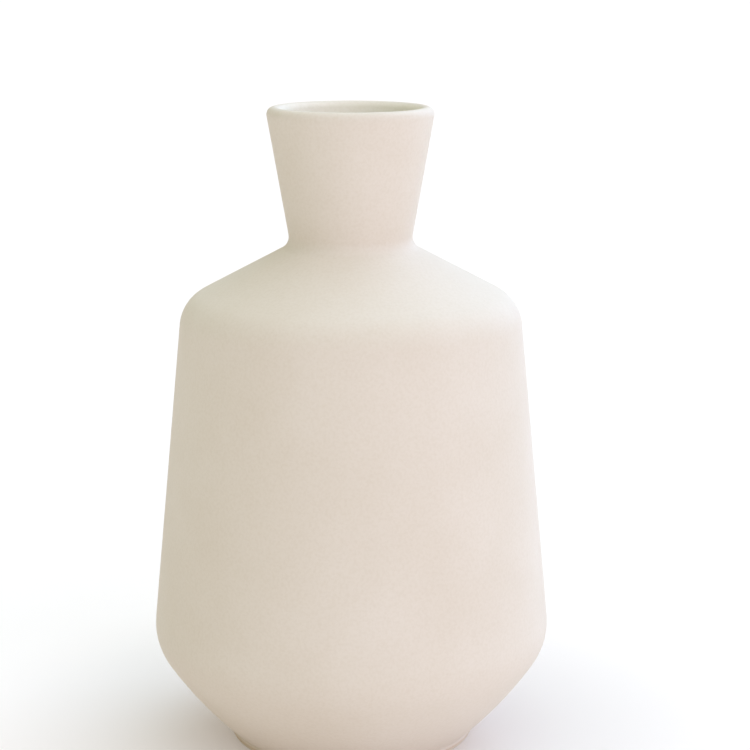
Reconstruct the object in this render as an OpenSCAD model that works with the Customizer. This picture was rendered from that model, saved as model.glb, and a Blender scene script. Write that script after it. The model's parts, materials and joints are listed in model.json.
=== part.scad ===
// Ceramic bud vase: leather-hard clay sections luted together at stepped
// seats, a matt coat outside and a clear lining inside.
// Millimetres, +Z up. The origin is the centre of the foot, on the surface
// that the vase stands on.
//
// Every surface is part of one outline. It is worked out at any depth under
// the finished surface: depth 0 is the face of the coats, and depth glaze_t
// is the face of the clay.

/* [Lip and neck] */
// Outer diameter of the lip
mouth_d = 46.2; // [36:0.1:70]
// Outer diameter where the lines of the neck and the shoulder cross
neck_d = 33.7; // [26:0.1:45]
// Height of the neck, from that crossing to the top of the lip
neck_h = 38; // [25:0.5:80]
// Radius of the hollow between neck and shoulder
neck_fillet = 3.9; // [2:0.1:8]

/* [Shoulder] */
// Outer diameter where the lines of the shoulder and the wall cross
shoulder_d = 94.5; // [75:0.5:120]
// Height of that crossing above the ground
shoulder_z = 125.8; // [90:0.1:180]
// How much the shoulder rises from there to the neck
shoulder_rise = 16.2; // [8:0.1:30]
// Radius of the shoulder's edge
shoulder_round = 10.9; // [8:0.1:16]

/* [Belly] */
// Largest outer diameter
belly_d = 112.6; // [92:0.1:140]
// Height of the centre of the belly's round
belly_z = 33.4; // [27:0.1:42]
// Radius of the belly's round
belly_round = 16.5; // [12:0.1:22]
// Radius of the slight bulge in the taper below the belly
taper_round = 124; // [60:1:400]

/* [Foot] */
// Outer diameter of the foot
foot_d = 70.2; // [56:0.1:86]
// Height of the foot, up to the notch under the taper
foot_h = 2.5; // [2:0.1:4]
// Radius in that notch
foot_fillet = 0.5; // [0.3:0.1:1.2]
// Width of the ring that the vase stands on
foot_ring_w = 6.5; // [5:0.1:10]
// Radius of the ring's two bottom edges
foot_edge = 0.8; // [0.4:0.1:1]

/* [Walls and floor] */
// Thickness of the wall, with both coats
wall = 4.2; // [3:0.1:6]
// Thickness of the floor above the foot ring, with its coat
floor_t = 5.5; // [4:0.1:9]
// Radius between the floor and the wall, inside
floor_round = 6; // [3:0.5:10]

/* [Coats] */
// Thickness of each coat of glaze
glaze_t = 0.4; // [0.2:0.05:0.6]
// Height of bare clay left at the bottom of the foot
bare_foot_h = 1; // [1:0.1:1.5]
// How far the outer coat goes down inside the mouth, below the lip's round
lip_lap = 8; // [3:0.5:10]

/* [Seats between sections] */
// Height of the step in each seat
step_h = 3; // [2:0.1:4]
// Gap left for slip beside and above each step
slip_gap = 0.2; // [0.1:0.05:0.4]
// Distance of each seat from the nearest bend in the wall
seat_offset = 4; // [2:0.5:8]
// Width of the lower wall's toe, where it stands on the foot ring
toe_w = 2.2; // [1.5:0.1:3.5]

/* [Hidden] */

clay_colour = "#dfd3c0";
outer_colour = "#e6d9ca";
inner_colour = "#e9dfce";

$fn = 128;
// Largest angle between two points of an arc, in degrees, and largest distance
arc_step = 4;
arc_run = 2;

foot_r = foot_d / 2;
neck_corner_z = shoulder_z + shoulder_rise;
total_h = neck_corner_z + neck_h;
floor_top = foot_h + floor_t;
ring_inner_r = foot_r - glaze_t - foot_ring_w;
disc_r = foot_r - glaze_t - toe_w;
// Wider than the vase, for the areas that cut it into sections
cut_r = belly_d + shoulder_d;

// Unit vector at an angle, the angle of a vector, and points along an arc
function dir(angle) = [cos(angle), sin(angle)];
function angle_of(v) = atan2(v.y, v.x);
function arc(centre, radius, from, to) =
    let (turn = abs(to - from))
    let (count = ceil(max(turn / arc_step, turn * radius * PI / 180 / arc_run)))
    [for (i = [0 : count]) centre + radius * dir(from + (to - from) * i / count)];
function reversed(points) = [for (i = [len(points) - 1 : -1 : 0]) points[i]];

// Centre of a round that touches two lines, which cross at a corner and have
// the given normals; a positive radius is a round edge, a negative one a hollow
function round_centre(corner, angle_a, angle_b, radius) =
    corner - radius * (dir(angle_a) + dir(angle_b)) / (1 + dir(angle_a) * dir(angle_b));

// Where two circles cross, on the left of the way from the first to the second
function circles_cross(a, radius_a, b, radius_b) =
    let (gap = norm(b - a))
    let (way = (b - a) / gap)
    let (along = (radius_a * radius_a - radius_b * radius_b + gap * gap) / (2 * gap))
    let (across = sqrt(radius_a * radius_a - along * along))
    a + along * way + across * [-way.y, way.x];

// Corners where the straight lines of the outline cross
shoulder_corner = [shoulder_d / 2, shoulder_z];
neck_corner = [neck_d / 2, neck_corner_z];
foot_corner = [foot_r, foot_h];

// Centres of the lip and the belly, and of the taper's bulge, which touches
// the belly's round and meets the foot in its corner
lip_centre = [(mouth_d - wall) / 2, total_h - wall / 2];
belly_centre = [belly_d / 2 - belly_round, belly_z];
taper_centre = circles_cross(foot_corner, taper_round, belly_centre, taper_round - belly_round);

// Directions in which each stretch of the outline faces
to_shoulder = shoulder_corner - belly_centre;
wall_angle = angle_of(to_shoulder) - acos(belly_round / norm(to_shoulder));
shoulder_angle = angle_of(shoulder_corner - neck_corner) + 90;
from_lip = neck_corner - lip_centre;
neck_angle = angle_of(from_lip) + acos(wall / 2 / norm(from_lip));
belly_low_angle = angle_of(belly_centre - taper_centre);

shoulder_centre = round_centre(shoulder_corner, wall_angle, shoulder_angle, shoulder_round);
fillet_centre = round_centre(neck_corner, shoulder_angle, neck_angle, -neck_fillet);

// The notch above the foot touches the foot's side and the taper's bulge
notch_x = foot_r + foot_fillet;
notch_reach = taper_round + foot_fillet;
notch_drop = sqrt(notch_reach * notch_reach - pow(notch_x - taper_centre.x, 2));
notch_centre = [notch_x, taper_centre.y - notch_drop];
notch_angle = angle_of(notch_centre - taper_centre);

// The round between floor and wall touches the floor and the taper, inside
floor_reach = taper_round - wall - floor_round;
floor_centre_z = floor_top + floor_round;
floor_run = sqrt(floor_reach * floor_reach - pow(taper_centre.y - floor_centre_z, 2));
floor_centre = [taper_centre.x + floor_run, floor_centre_z];
floor_angle = angle_of(floor_centre - taper_centre);

// Outside, from the bare foot up and over the lip
function outer_line(depth) = concat(
    [[foot_r - depth, bare_foot_h]],
    arc(notch_centre, foot_fillet + depth, 180, 180 + notch_angle),
    arc(taper_centre, taper_round - depth, notch_angle, belly_low_angle),
    arc(belly_centre, belly_round - depth, belly_low_angle, wall_angle),
    arc(shoulder_centre, shoulder_round - depth, wall_angle, shoulder_angle),
    arc(fillet_centre, neck_fillet + depth, shoulder_angle + 180, neck_angle + 180),
    arc(lip_centre, wall / 2 - depth, neck_angle, neck_angle + 180));

// Inside, from the hollow of the neck down to the middle of the floor
function inner_line(depth) = concat(
    arc(fillet_centre, neck_fillet + wall - depth, neck_angle + 180, shoulder_angle + 180),
    arc(shoulder_centre, shoulder_round - wall + depth, shoulder_angle, wall_angle),
    arc(belly_centre, belly_round - wall + depth, wall_angle, belly_low_angle),
    arc(taper_centre, taper_round - wall + depth, belly_low_angle, floor_angle),
    arc(floor_centre, floor_round + depth, floor_angle, -90),
    [[0, floor_top - depth]]);

// Where the two coats meet, inside the mouth
function lap_point(depth) =
    lip_centre - (wall / 2 - depth) * dir(neck_angle) - lip_lap * dir(neck_angle + 90);

// Underside, from the middle out to the side of the foot
foot_line = concat(
    [[0, foot_h], [ring_inner_r, foot_h]],
    arc([ring_inner_r + foot_edge, foot_edge], foot_edge, 180, 270),
    arc([foot_r - glaze_t - foot_edge, foot_edge], foot_edge, 270, 360));

module clay_outline() {
    polygon(concat(foot_line, outer_line(glaze_t), inner_line(glaze_t)));
}

// A seat is [height, radius of the middle of the wall]
function seat_at(height, line_point, line_angle) =
    let (middle_z = height + step_h / 2)
    let (reach = line_point * dir(line_angle) - wall / 2)
    [height, (reach - middle_z * sin(line_angle)) / cos(line_angle)];

wall_low_z = belly_centre.y + belly_round * sin(wall_angle);
wall_high_z = shoulder_centre.y + shoulder_round * sin(wall_angle);
neck_low_z = fillet_centre.y - neck_fillet * sin(neck_angle);
low_seat = seat_at(wall_low_z + seat_offset, shoulder_corner, wall_angle);
high_seat = seat_at(wall_high_z - seat_offset - step_h, shoulder_corner, wall_angle);
neck_seat = seat_at(neck_low_z + seat_offset, neck_corner, neck_angle);

// Everything below a seat, with the tongue that stands up on the inner half of
// the wall; room widens it for the section above and narrows it for the one below
module below_seat(seat, room) {
    square([cut_r, seat[0]]);
    square([seat[1] + room / 2, seat[0] + step_h + room / 2]);
}

module below_foot_top() {
    square([cut_r, foot_h]);
}

module disc_area(room) {
    square([disc_r + room / 2, floor_top + floor_round]);
}

module foot_ring() {
    color(clay_colour)
    rotate_extrude()
    intersection() {
        clay_outline();
        below_foot_top();
    }
}

module base_disc() {
    color(clay_colour)
    rotate_extrude()
    difference() {
        intersection() {
            clay_outline();
            disc_area(-slip_gap);
        }
        below_foot_top();
    }
}

module lower_wall() {
    color(clay_colour)
    rotate_extrude()
    difference() {
        intersection() {
            clay_outline();
            below_seat(low_seat, -slip_gap);
        }
        below_foot_top();
        disc_area(slip_gap);
    }
}

module body_wall() {
    color(clay_colour)
    rotate_extrude()
    difference() {
        intersection() {
            clay_outline();
            below_seat(high_seat, -slip_gap);
        }
        below_seat(low_seat, slip_gap);
    }
}

module shoulder() {
    color(clay_colour)
    rotate_extrude()
    difference() {
        intersection() {
            clay_outline();
            below_seat(neck_seat, -slip_gap);
        }
        below_seat(high_seat, slip_gap);
    }
}

module neck() {
    color(clay_colour)
    rotate_extrude()
    difference() {
        clay_outline();
        below_seat(neck_seat, slip_gap);
    }
}

module outer_glaze() {
    color(outer_colour)
    rotate_extrude()
    polygon(concat(
        outer_line(0),
        [lap_point(0), lap_point(glaze_t)],
        reversed(outer_line(glaze_t))));
}

module inner_glaze() {
    color(inner_colour)
    rotate_extrude()
    polygon(concat(
        [lap_point(0)],
        inner_line(0),
        reversed(inner_line(glaze_t)),
        [lap_point(glaze_t)]));
}

foot_ring();
base_disc();
lower_wall();
body_wall();
shoulder();
neck();
outer_glaze();
inner_glaze();
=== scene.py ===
import json
import math

import bpy
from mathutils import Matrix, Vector

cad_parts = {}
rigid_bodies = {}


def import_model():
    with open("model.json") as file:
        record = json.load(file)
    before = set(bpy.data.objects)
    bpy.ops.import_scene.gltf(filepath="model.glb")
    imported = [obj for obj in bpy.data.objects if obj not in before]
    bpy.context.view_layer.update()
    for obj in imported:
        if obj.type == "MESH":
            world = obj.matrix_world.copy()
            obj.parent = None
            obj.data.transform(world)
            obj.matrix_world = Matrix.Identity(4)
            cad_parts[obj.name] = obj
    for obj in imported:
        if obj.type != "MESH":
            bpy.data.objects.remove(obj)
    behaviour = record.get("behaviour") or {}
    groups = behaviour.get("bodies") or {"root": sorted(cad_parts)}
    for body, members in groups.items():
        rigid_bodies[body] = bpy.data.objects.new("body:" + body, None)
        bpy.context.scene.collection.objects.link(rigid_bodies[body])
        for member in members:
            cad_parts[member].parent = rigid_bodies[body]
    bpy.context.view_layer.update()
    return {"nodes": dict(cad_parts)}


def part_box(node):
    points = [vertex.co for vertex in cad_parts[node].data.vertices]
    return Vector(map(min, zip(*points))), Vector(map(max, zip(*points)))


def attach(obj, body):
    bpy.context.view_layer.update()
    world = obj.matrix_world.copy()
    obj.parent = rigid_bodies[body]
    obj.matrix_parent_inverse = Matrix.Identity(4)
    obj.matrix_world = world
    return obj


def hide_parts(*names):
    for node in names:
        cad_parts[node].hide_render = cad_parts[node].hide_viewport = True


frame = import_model()

# ---------------------------------------------------------------- the foot ring
# The ring that the vase stands on: pale stoneware, left bare so that it doesn't
# stick to the kiln shelf. It was trimmed with a loop tool as it turned, and the
# tool's edge left fine grooves in the face that meets the table.
MM = 0.001
TURN_STEPS = 180
# An edge that turns by more than SHARP stays crisp, a point where an outline turns by
# less than STRAIGHT is dropped, and points nearer each other than MERGE become one.
SHARP = math.radians(40)
STRAIGHT = math.radians(0.3)
MERGE = 0.004 * MM
ON_PLANE = 0.001 * MM
# Each groove has two sides, of this width or a little less.
RING_GROOVE_SIDE = 0.4 * MM
RING_GROOVE_DEPTH = 0.1 * MM


def pick_none():
    """Leaves edit mode and deselects everything."""
    if bpy.context.mode != "OBJECT":
        bpy.ops.object.mode_set(mode="OBJECT")
    bpy.ops.object.select_all(action="DESELECT")


def outline_of(node, name):
    """A CAD node's outline on one side of the axis, as a new piece of bare edges."""
    pick_none()
    piece = bpy.data.objects.new(name, frame["nodes"][node].data.copy())
    piece.data.name = name
    piece.data.materials.clear()
    bpy.context.scene.collection.objects.link(piece)
    piece.select_set(True)
    bpy.context.view_layer.objects.active = piece
    bpy.ops.object.mode_set(mode="EDIT")
    bpy.ops.mesh.select_all(action="SELECT")
    bpy.ops.mesh.remove_doubles(threshold=MERGE)
    bpy.ops.mesh.bisect(plane_co=(0, 0, 0), plane_no=(1, 0, 0), clear_inner=True, threshold=ON_PLANE)
    bpy.ops.mesh.select_all(action="SELECT")
    bpy.ops.mesh.bisect(plane_co=(0, 0, 0), plane_no=(0, 1, 0),
                        clear_inner=True, clear_outer=True, threshold=ON_PLANE)
    bpy.ops.mesh.select_all(action="SELECT")
    bpy.ops.mesh.remove_doubles(threshold=5 * MERGE)
    bpy.ops.mesh.dissolve_limited(angle_limit=STRAIGHT)
    bpy.ops.object.mode_set(mode="OBJECT")
    return piece


def pick_edges(piece, wanted):
    """Selects the wanted edges, opens edit mode, and says how many there are."""
    bpy.ops.object.mode_set(mode="EDIT")
    bpy.ops.mesh.select_mode(type="EDGE")
    bpy.ops.mesh.select_all(action="DESELECT")
    bpy.ops.object.mode_set(mode="OBJECT")
    points = piece.data.vertices
    for edge in piece.data.edges:
        edge.select = wanted(*(points[i].co for i in edge.vertices))
    count = sum(edge.select for edge in piece.data.edges)
    bpy.ops.object.mode_set(mode="EDIT")
    return count


def pick_points(piece, chosen):
    """Selects the points with the chosen numbers, and opens edit mode."""
    bpy.ops.object.mode_set(mode="EDIT")
    bpy.ops.mesh.select_mode(type="VERT")
    bpy.ops.mesh.select_all(action="DESELECT")
    bpy.ops.object.mode_set(mode="OBJECT")
    for number in chosen:
        piece.data.vertices[number].select = True
    bpy.ops.object.mode_set(mode="EDIT")


def split_edges(piece, longest, wanted=lambda middle: True):
    """Halves an outline's wanted edges until none of them is longer than longest."""
    while pick_edges(piece, lambda a, b: (b - a).length > longest and wanted((a + b) / 2)):
        bpy.ops.mesh.subdivide()
        bpy.ops.object.mode_set(mode="OBJECT")
    bpy.ops.object.mode_set(mode="OBJECT")


def cut_grooves(piece, wanted, move):
    """Moves every second wanted point of an outline, and halves the slopes between."""
    points = sorted((p for p in piece.data.vertices if wanted(p.co)), key=lambda p: p.co.x)
    pick_points(piece, [p.index for p in points[1:-1:2]])
    bpy.ops.transform.translate(value=move)
    bpy.ops.mesh.select_more()
    bpy.ops.mesh.subdivide()
    bpy.ops.object.mode_set(mode="OBJECT")


def turn_round(piece):
    """Spins an outline about the axis into a closed, smooth piece."""
    bpy.ops.object.mode_set(mode="EDIT")
    bpy.ops.mesh.select_all(action="SELECT")
    bpy.ops.mesh.spin(steps=TURN_STEPS, angle=math.tau, center=(0, 0, 0), axis=(0, 0, 1))
    bpy.ops.mesh.select_all(action="SELECT")
    bpy.ops.mesh.remove_doubles(threshold=MERGE / 2)
    bpy.ops.mesh.normals_make_consistent(inside=False)
    bpy.ops.object.mode_set(mode="OBJECT")
    bpy.ops.object.shade_smooth_by_angle(angle=SHARP)


def linear(hex_colour):
    """A linear RGBA colour from sRGB hex, such as "e6d9ca"."""
    levels = [int(hex_colour[i:i + 2], 16) / 255 for i in (0, 2, 4)]
    curve = [c / 12.92 if c <= 0.04045 else ((c + 0.055) / 1.055) ** 2.4 for c in levels]
    return (*curve, 1.0)


def new_material(name):
    """A material with an empty node tree, and that tree."""
    material = bpy.data.materials.new(name)
    material.use_nodes = True
    material.node_tree.nodes.clear()
    return material, material.node_tree


def add_node(tree, kind, settings=None, **links):
    """
    Adds a node. Settings are its properties, its inputs and its ramp's stops. Links go
    into its inputs: Base_Color=... into "Base Color", and _6=... into input number 6.
    """
    node = tree.nodes.new(kind)
    for key, value in (settings or {}).items():
        if key == "stops":
            while len(node.color_ramp.elements) < len(value):
                node.color_ramp.elements.new(0.5)
            for stop, (place, colour) in zip(node.color_ramp.elements, value):
                stop.position = place
                stop.color = linear(colour)
        elif hasattr(node, key):
            setattr(node, key, value)
        else:
            node.inputs[key].default_value = value
    for key, socket in links.items():
        target = int(key[1:]) if key[1:].isdigit() else key.replace("_", " ")
        tree.links.new(socket, node.inputs[target])
    return node


def per(size):
    """The texture scale at which a pattern repeats about once in size."""
    return 1 / size


foot_ring = outline_of("foot_ring", "trimmed_foot_ring")
ring_bore = min(p.co.x for p in foot_ring.data.vertices)
split_edges(foot_ring, RING_GROOVE_SIDE, lambda middle: middle.z < MERGE)
cut_grooves(foot_ring, lambda co: co.z < MERGE, (0, 0, RING_GROOVE_DEPTH))
turn_round(foot_ring)
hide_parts("foot_ring")
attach(foot_ring, "root")

# Pale stoneware, fired bare: dry and matt, a little uneven in colour, with fine
# grog under the skin and a few small brown iron specks.
GROG_SIZE = 0.9 * MM
GROG_DEPTH = 0.05 * MM
SPECK_SIZE = 1.6 * MM
BLUSH_SIZE = 14 * MM
stoneware, tree = new_material("pale_stoneware_bisque")
here = add_node(tree, "ShaderNodeTexCoord").outputs["Object"]
blush = add_node(tree, "ShaderNodeTexNoise", {"Scale": per(BLUSH_SIZE), "Detail": 3.0}, Vector=here)
blush_colour = add_node(tree, "ShaderNodeValToRGB", {"stops": [(0.3, "d9ccb8"), (0.7, "e2d7c5")]},
                        Fac=blush.outputs["Fac"])
specks = add_node(tree, "ShaderNodeTexVoronoi", {"Scale": per(SPECK_SIZE)}, Vector=here)
speck_colour = add_node(tree, "ShaderNodeValToRGB", {"stops": [(0.07, "b39c80"), (0.13, "ffffff")]},
                        Fac=specks.outputs["Distance"])
clay_colour = add_node(tree, "ShaderNodeVectorMath", {"operation": "MULTIPLY"},
                       _0=blush_colour.outputs["Color"], _1=speck_colour.outputs["Color"])
grog = add_node(tree, "ShaderNodeTexNoise", {"Scale": per(GROG_SIZE), "Detail": 4.0}, Vector=here)
grog_bump = add_node(tree, "ShaderNodeBump", {"Strength": 1.0, "Distance": GROG_DEPTH},
                     Height=grog.outputs["Fac"])
dryness = add_node(tree, "ShaderNodeMapRange", {"To Min": 0.84, "To Max": 0.98},
                   Value=grog.outputs["Fac"])
shader = add_node(tree, "ShaderNodeBsdfPrincipled", {"IOR": 1.5},
                  Base_Color=clay_colour.outputs["Vector"], Roughness=dryness.outputs["Result"],
                  Normal=grog_bump.outputs["Normal"])
add_node(tree, "ShaderNodeOutputMaterial", Surface=shader.outputs["BSDF"])
foot_ring.data.materials.append(stoneware)

# ---------------------------------------------------------------- the base disc
# The floor of the vase: a slab of the same clay, rolled flat, cut round and luted
# onto the foot ring. Its underside shows inside the ring, where the trimming tool
# left wider rings. The lining covers its top.
DISC_GROOVE_SIDE = 1.1 * MM
DISC_GROOVE_DEPTH = 0.25 * MM
base_disc = outline_of("base_disc", "rolled_base_disc")
disc_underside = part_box("base_disc")[0][2] + MERGE
split_edges(base_disc, DISC_GROOVE_SIDE, lambda middle: middle.z < disc_underside)
cut_grooves(base_disc, lambda co: co.z < disc_underside and co.x < ring_bore,
            (0, 0, DISC_GROOVE_DEPTH))
turn_round(base_disc)
base_disc.data.materials.append(stoneware)
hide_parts("base_disc")
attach(base_disc, "root")

# ------------------------------------------- the lower wall, body, shoulder, neck
# Four thrown sections of the same clay, one above the other. Each has a step that
# drops over a tongue on the one below, both faces are scored with a needle and
# painted with slip, and the sections are pressed together while leather-hard.
SCORE_SIDE = 0.4 * MM
SCORE_DEPTH = 0.12 * MM
LEVEL = 0.02 * MM
SEAT_LEAST = 1.0 * MM


def seat_heights(piece):
    """Heights of an outline's level edges, which are the faces of its seats."""
    points = piece.data.vertices
    heights = []
    for edge in piece.data.edges:
        a, b = (points[i].co for i in edge.vertices)
        if abs(a.z - b.z) < LEVEL and (a - b).length > SEAT_LEAST:
            heights.append(a.z)
    return heights


for node in ("lower_wall", "body_wall", "shoulder", "neck"):
    section = outline_of(node, "luted_" + node)
    middle_z = sum(p.co.z for p in section.data.vertices) / len(section.data.vertices)
    for seat_z in seat_heights(section):
        into_clay = SCORE_DEPTH if seat_z < middle_z else -SCORE_DEPTH
        split_edges(section, SCORE_SIDE, lambda middle: abs(middle.z - seat_z) < LEVEL)
        cut_grooves(section, lambda co: abs(co.z - seat_z) < LEVEL, (0, 0, into_clay))
    turn_round(section)
    section.data.materials.append(stoneware)
    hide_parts(node)
    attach(section, "root")

# ------------------------------------------------------------- the clear lining
# The coat that makes the vase hold water: clear glaze, poured in, swirled round
# and poured out. It is glossy, so the soft rings that the thrower's fingers left
# in the clay show through it.
FINGER_RING = 7 * MM
FINGER_RING_DEPTH = 0.18 * MM
FIRST_RING = 2
LINING_STEP = 1.6 * MM


def press_ring(piece, chosen, move):
    """Presses one point of an outline in, with its neighbours along the line."""
    pick_points(piece, [chosen])
    bpy.ops.transform.translate(
        value=move, use_proportional_edit=True, use_proportional_connected=True,
        proportional_edit_falloff="SMOOTH", proportional_size=FINGER_RING / 2)
    bpy.ops.object.mode_set(mode="OBJECT")


inner_glaze = outline_of("inner_glaze", "clear_lining_coat")
split_edges(inner_glaze, LINING_STEP)
lining_low, lining_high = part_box("inner_glaze")
ring_count = int((lining_high[2] - lining_low[2]) / FINGER_RING) - 1
for ring in range(FIRST_RING, ring_count):
    ring_z = lining_low[2] + ring * FINGER_RING
    level = [p for p in inner_glaze.data.vertices if abs(p.co.z - ring_z) < LINING_STEP]
    press_ring(inner_glaze, min(level, key=lambda p: p.co.x).index, (FINGER_RING_DEPTH, 0, 0))
turn_round(inner_glaze)
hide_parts("inner_glaze")
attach(inner_glaze, "root")

# Clear glaze over pale clay: wet-looking, the clay's colour a little deeper where
# the glaze pooled, and a surface that flowed almost level.
POOL_SIZE = 18 * MM
FLOW_SIZE = 9 * MM
FLOW_DEPTH = 0.03 * MM
lining, tree = new_material("clear_gloss_glaze")
here = add_node(tree, "ShaderNodeTexCoord").outputs["Object"]
pools = add_node(tree, "ShaderNodeTexNoise", {"Scale": per(POOL_SIZE), "Detail": 2.0}, Vector=here)
pool_colour = add_node(tree, "ShaderNodeValToRGB", {"stops": [(0.35, "ebe3d5"), (0.65, "efe8dc")]},
                       Fac=pools.outputs["Fac"])
flow = add_node(tree, "ShaderNodeTexNoise", {"Scale": per(FLOW_SIZE), "Detail": 1.0}, Vector=here)
flow_bump = add_node(tree, "ShaderNodeBump", {"Strength": 1.0, "Distance": FLOW_DEPTH},
                     Height=flow.outputs["Fac"])
gloss = add_node(tree, "ShaderNodeMapRange", {"To Min": 0.08, "To Max": 0.16},
                 Value=pools.outputs["Fac"])
shader = add_node(tree, "ShaderNodeBsdfPrincipled", {"IOR": 1.52},
                  Base_Color=pool_colour.outputs["Color"], Roughness=gloss.outputs["Result"],
                  Normal=flow_bump.outputs["Normal"])
add_node(tree, "ShaderNodeOutputMaterial", Surface=shader.outputs["BSDF"])
inner_glaze.data.materials.append(lining)

# ------------------------------------------------------------- the matt outside
# The coat that gives the vase its look: thick matt cream glaze, sprayed on from
# the foot up and over the lip, and a little way down inside it. It is wiped off
# the foot along a line that isn't quite even, and its edge there is round.
GLAZE_STEP = 1.6 * MM
GLAZE_EDGE = 0.22 * MM
GLAZE_EDGE_FACETS = 3
SWELL_SIZE = 38 * MM
SWELL_DEPTH = 0.07 * MM
WIPE_SIZE = 9 * MM
WIPE_DEPTH = 0.3 * MM


def displace(piece, name, size, settings):
    """Displaces a piece by soft clouds, each about size across."""
    clouds = bpy.data.textures.new(name, type="CLOUDS")
    clouds.noise_scale = size
    bpy.ops.object.modifier_add(type="DISPLACE")
    modifier = piece.modifiers[-1]
    modifier.texture = clouds
    for key, value in settings.items():
        setattr(modifier, key, value)
    bpy.ops.object.modifier_apply(modifier=modifier.name)


outer_glaze = outline_of("outer_glaze", "matt_glaze_coat")
lip_crest = max((p.co.copy() for p in outer_glaze.data.vertices), key=lambda co: co.z)
glaze_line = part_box("outer_glaze")[0][2]
edge_points = [p for p in outer_glaze.data.vertices if p.co.z < glaze_line + MERGE]
pick_points(outer_glaze, [max(edge_points, key=lambda p: p.co.x).index])
bpy.ops.mesh.bevel(offset=GLAZE_EDGE, segments=GLAZE_EDGE_FACETS, affect="VERTICES")
bpy.ops.object.mode_set(mode="OBJECT")
split_edges(outer_glaze, GLAZE_STEP)
turn_round(outer_glaze)
wiped = [p.index for p in outer_glaze.data.vertices if p.co.z < glaze_line + 2 * GLAZE_EDGE]
pick_points(outer_glaze, wiped)
bpy.ops.object.vertex_group_add()
bpy.ops.object.vertex_group_assign()
bpy.ops.object.mode_set(mode="OBJECT")
displace(outer_glaze, "wiped_line", WIPE_SIZE,
         {"direction": "Z", "mid_level": 0.0, "strength": WIPE_DEPTH,
          "vertex_group": outer_glaze.vertex_groups[0].name})
displace(outer_glaze, "kiln_swell", SWELL_SIZE, {"mid_level": 1.0, "strength": SWELL_DEPTH})
outer_glaze.vertex_groups.clear()
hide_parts("outer_glaze")
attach(outer_glaze, "root")

# Matt cream glaze: soft and chalky with a faint sheen, hardly any change of tint,
# a fine eggshell grain, and the clay's warmth where it thins out at the foot. Inside
# the lip the colour is painted paler, as painted light for the light on the inner wall.
# The real grain is finer, and is drawn to just show.
CLOUD_SIZE = 32 * MM
PEEL_SIZE = 5 * MM
PEEL_DEPTH = 0.015 * MM
GRAIN_SIZE = 0.8 * MM
GRAIN_DEPTH = 0.007 * MM
THIN_BAND = 0.9 * MM
# Painted light: in a band just inside the lip the glaze colour is painted paler, to stand in for the
# light that reaches the inner wall.
INSIDE_START = 0.9 * MM
INSIDE_BAND = 1.2 * MM
INSIDE_DEPTH = 11 * MM
INSIDE_PAINTED_LIGHT = "f4eee0"
matt, tree = new_material("matt_cream_glaze")
here = add_node(tree, "ShaderNodeTexCoord").outputs["Object"]
clouds = add_node(tree, "ShaderNodeTexNoise", {"Scale": per(CLOUD_SIZE), "Detail": 3.0}, Vector=here)
cloud_colour = add_node(tree, "ShaderNodeValToRGB", {"stops": [(0.3, "e4d8c9"), (0.7, "e9ded1")]},
                        Fac=clouds.outputs["Fac"])
height = add_node(tree, "ShaderNodeSeparateXYZ", Vector=here)
thinness = add_node(tree, "ShaderNodeMapRange", {
    "From Min": glaze_line, "From Max": glaze_line + THIN_BAND}, Value=height.outputs["Z"])
thin_colour = add_node(tree, "ShaderNodeValToRGB", {"stops": [(0.0, "e6cfb2"), (1.0, "ffffff")]},
                       Fac=thinness.outputs["Result"])
glaze_colour = add_node(tree, "ShaderNodeVectorMath", {"operation": "MULTIPLY"},
                        _0=cloud_colour.outputs["Color"], _1=thin_colour.outputs["Color"])
flat = add_node(tree, "ShaderNodeVectorMath", {"operation": "MULTIPLY"}, _0=here)
flat.inputs[1].default_value = (1, 1, 0)
radius = add_node(tree, "ShaderNodeVectorMath", {"operation": "LENGTH"}, Vector=flat.outputs["Vector"])
# Mask for the painted light inside the lip: a little inside the crest's radius, and down to
# INSIDE_DEPTH below the crest.
within = add_node(tree, "ShaderNodeMapRange", {
    "From Min": lip_crest.x - INSIDE_START,
    "From Max": lip_crest.x - INSIDE_START - INSIDE_BAND}, Value=radius.outputs["Value"])
near_lip = add_node(tree, "ShaderNodeMapRange", {
    "From Min": lip_crest.z - INSIDE_DEPTH, "From Max": lip_crest.z - INSIDE_DEPTH + INSIDE_BAND},
                    Value=height.outputs["Z"])
inside = add_node(tree, "ShaderNodeMath", {"operation": "MULTIPLY"},
                  _0=within.outputs["Result"], _1=near_lip.outputs["Result"])
# Mixes the painted light, a paler colour, into the glaze inside the lip.
glaze_and_painted_light = add_node(tree, "ShaderNodeMix", {"data_type": "RGBA"},
                 Factor=inside.outputs["Value"], _6=glaze_colour.outputs["Vector"])
glaze_and_painted_light.inputs[7].default_value = linear(INSIDE_PAINTED_LIGHT)
grain = add_node(tree, "ShaderNodeTexNoise", {"Scale": per(GRAIN_SIZE), "Detail": 3.0}, Vector=here)
fleck_colour = add_node(tree, "ShaderNodeValToRGB", {"stops": [(0.3, "fbfaf8"), (0.6, "ffffff")]},
                        Fac=grain.outputs["Fac"])
flecked = add_node(tree, "ShaderNodeVectorMath", {"operation": "MULTIPLY"},
                   _0=glaze_and_painted_light.outputs[2], _1=fleck_colour.outputs["Color"])
peel = add_node(tree, "ShaderNodeTexNoise", {"Scale": per(PEEL_SIZE), "Detail": 1.0}, Vector=here)
peel_bump = add_node(tree, "ShaderNodeBump", {"Strength": 1.0, "Distance": PEEL_DEPTH},
                     Height=peel.outputs["Fac"])
grain_bump = add_node(tree, "ShaderNodeBump", {"Strength": 1.0, "Distance": GRAIN_DEPTH},
                      Height=grain.outputs["Fac"], Normal=peel_bump.outputs["Normal"])
mattness = add_node(tree, "ShaderNodeMapRange", {"To Min": 0.56, "To Max": 0.68},
                    Value=grain.outputs["Fac"])
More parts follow.
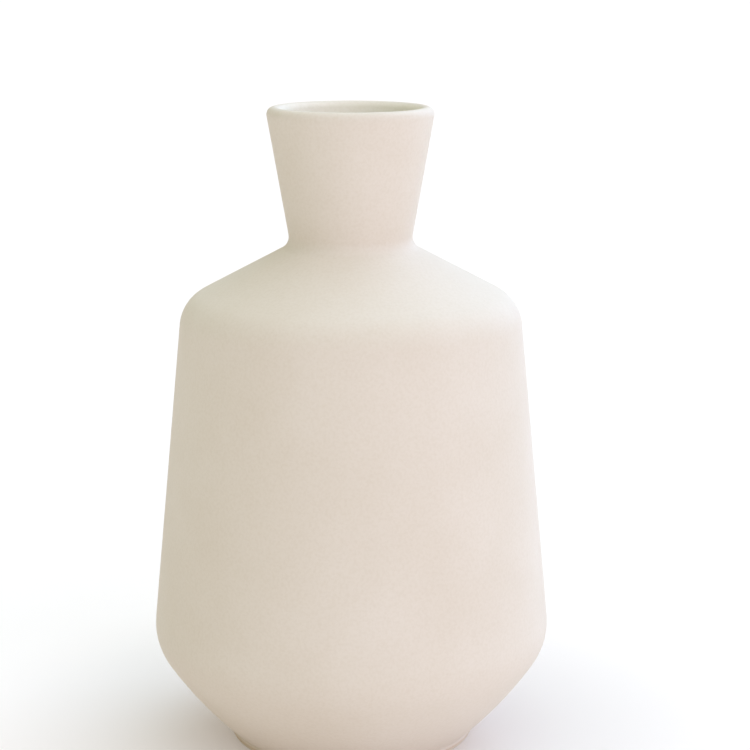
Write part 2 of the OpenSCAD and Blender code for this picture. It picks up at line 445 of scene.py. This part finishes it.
shader = add_node(tree, "ShaderNodeBsdfPrincipled", {"IOR": 1.5},
                  Base_Color=flecked.outputs["Vector"], Roughness=mattness.outputs["Result"],
                  Normal=grain_bump.outputs["Normal"])
add_node(tree, "ShaderNodeOutputMaterial", Surface=shader.outputs["BSDF"])
outer_glaze.data.materials.append(matt)

# ------------------------------------------------------- the table, light, camera
# A wide table of white acrylic, lit a little from below, in front of a plain white
# backdrop and under three very large soft panels, two of them on the right. Round the
# vase's foot the table's light is painted darker, a painted contact shadow. The camera
# stands just above the lip, half a metre away, and looks slightly down.
TABLE_WIDTH = 40000 * MM
TABLE_GLOW = 0.37
# Painted shadow: near the foot the table's emission is turned down, rising smoothly to full strength
# further out, to stand in for the shade round the vase.
PAINTED_SHADOW_GLOW = 0.2
PAINTED_SHADOW_RADIUS = 40 * MM
LIT_RADIUS = 130 * MM
pick_none()
bpy.ops.mesh.primitive_plane_add(size=TABLE_WIDTH)
table = bpy.context.object
table.name = "table_top"
acrylic, tree = new_material("lit_white_acrylic")
here = add_node(tree, "ShaderNodeTexCoord").outputs["Object"]
away = add_node(tree, "ShaderNodeVectorMath", {"operation": "LENGTH"}, Vector=here)
# The table's emission with the painted shadow: dim near the foot, full further out.
glow = add_node(tree, "ShaderNodeMapRange", {
    "interpolation_type": "SMOOTHSTEP", "From Min": PAINTED_SHADOW_RADIUS, "From Max": LIT_RADIUS,
    "To Min": PAINTED_SHADOW_GLOW, "To Max": TABLE_GLOW}, Value=away.outputs["Value"])
shader = add_node(tree, "ShaderNodeBsdfPrincipled", {
    "Base Color": linear("d0cbc8"), "Roughness": 0.8, "Emission Color": linear("fff8f6")},
                  Emission_Strength=glow.outputs["Result"])
add_node(tree, "ShaderNodeOutputMaterial", Surface=shader.outputs["BSDF"])
table.data.materials.append(acrylic)


def soft_panel(name, comes_from, spread, power, colour):
    """A panel far off in the direction it comes from, and spread degrees across."""
    pick_none()
    bpy.ops.object.light_add(type="SUN", location=comes_from)
    panel = bpy.context.object
    panel.name = name
    panel.rotation_euler = Vector(comes_from).to_track_quat("Z", "Y").to_euler()
    panel.data.angle = math.radians(spread)
    panel.data.energy = power
    panel.data.color = linear(colour)[:3]


soft_panel("right_front_panel", comes_from=(0.8, -0.9, 0.5), spread=60, power=1.172, colour="e3ddff")
soft_panel("right_back_panel", comes_from=(0.8, 0.8, 0.6), spread=60, power=1.868, colour="b9d6ff")
soft_panel("overhead_panel", comes_from=(0, 0, 1), spread=90, power=1.771, colour="e4f4ff")

# A faint warm surround fills the shadows, and the backdrop shows past the table.
studio = bpy.data.worlds.new("studio")
bpy.context.scene.world = studio
studio.use_nodes = True
tree = studio.node_tree
tree.nodes.clear()
surround = add_node(tree, "ShaderNodeBackground", {"Color": linear("fff9cc"), "Strength": 0.349})
backdrop = add_node(tree, "ShaderNodeBackground", {"Color": linear("ffffff"), "Strength": 1.0})
seen = add_node(tree, "ShaderNodeLightPath")
studio_light = add_node(tree, "ShaderNodeMixShader", _0=seen.outputs["Is Camera Ray"],
                        _1=surround.outputs["Background"], _2=backdrop.outputs["Background"])
add_node(tree, "ShaderNodeOutputWorld", Surface=studio_light.outputs["Shader"])

CAMERA_PLACE = (0, -0.560, 0.2242)
LOOKS_DOWN = math.radians(12.05)
LOOKS_ASIDE = math.radians(0.69)
pick_none()
bpy.ops.object.camera_add(
    location=CAMERA_PLACE, rotation=(math.radians(90) - LOOKS_DOWN, 0, -LOOKS_ASIDE))
camera = bpy.context.object
camera.data.sensor_width = 36
camera.data.lens = 97.5
camera.data.clip_start = 0.01
bpy.context.scene.camera = camera
bpy.context.scene.view_settings.view_transform = "Standard"
